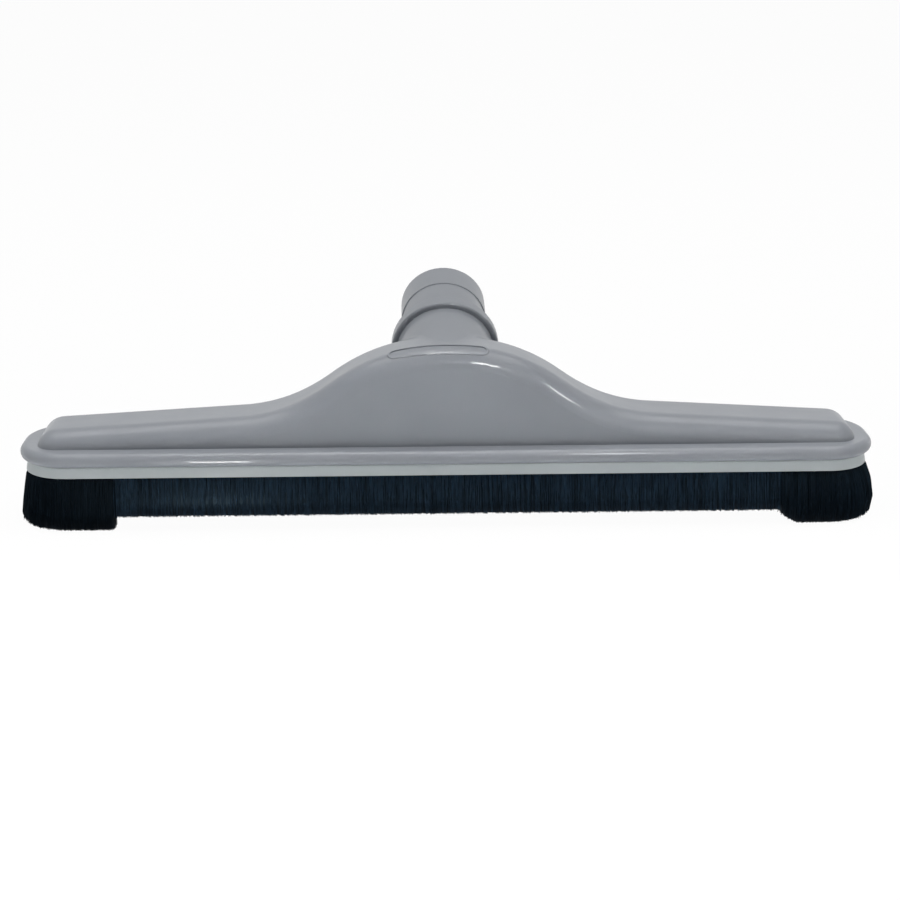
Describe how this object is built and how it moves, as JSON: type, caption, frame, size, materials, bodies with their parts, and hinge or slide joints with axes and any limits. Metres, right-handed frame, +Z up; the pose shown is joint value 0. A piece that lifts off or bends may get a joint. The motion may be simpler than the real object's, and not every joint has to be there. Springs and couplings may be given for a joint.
{
  "type": "vacuum floor brush head",
  "caption": "Long hollow floor brush head: bell-shaped housing with a rounded flange, a tilted neck with a wand socket, and a skirt of bristle strips that is longer at both ends.",
  "frame": {"origin": "middle of the head's footprint on the floor, at the height of the long bristles' tips", "axes": "+X along the brush to the right as seen from the front, -Y to the front, +Y towards the neck, +Z up"},
  "size_m": [0.3572, 0.1102, 0.0887],
  "materials": {
    "housing_plastic": "moulded blue-grey plastic with a soft gloss",
    "frame_plastic": "moulded light grey plastic, satin",
    "screw_steel": "zinc-plated steel",
    "strip_steel": "galvanised strip and wire",
    "bristle": "dense black hair with a faint sheen"
  },
  "bodies": {
    "root": {"housing": "housing_plastic", "brush_frame": "frame_plastic", "frame_screws": "screw_steel", "front_channel": "strip_steel", "rear_channel": "strip_steel", "left_channel": "strip_steel", "right_channel": "strip_steel", "front_core_wire": "strip_steel", "rear_core_wire": "strip_steel", "left_core_wire": "strip_steel", "right_core_wire": "strip_steel", "front_bristles": "bristle", "rear_bristles": "bristle", "left_bristles": "bristle", "right_bristles": "bristle"}
  },
  "joints": []
}
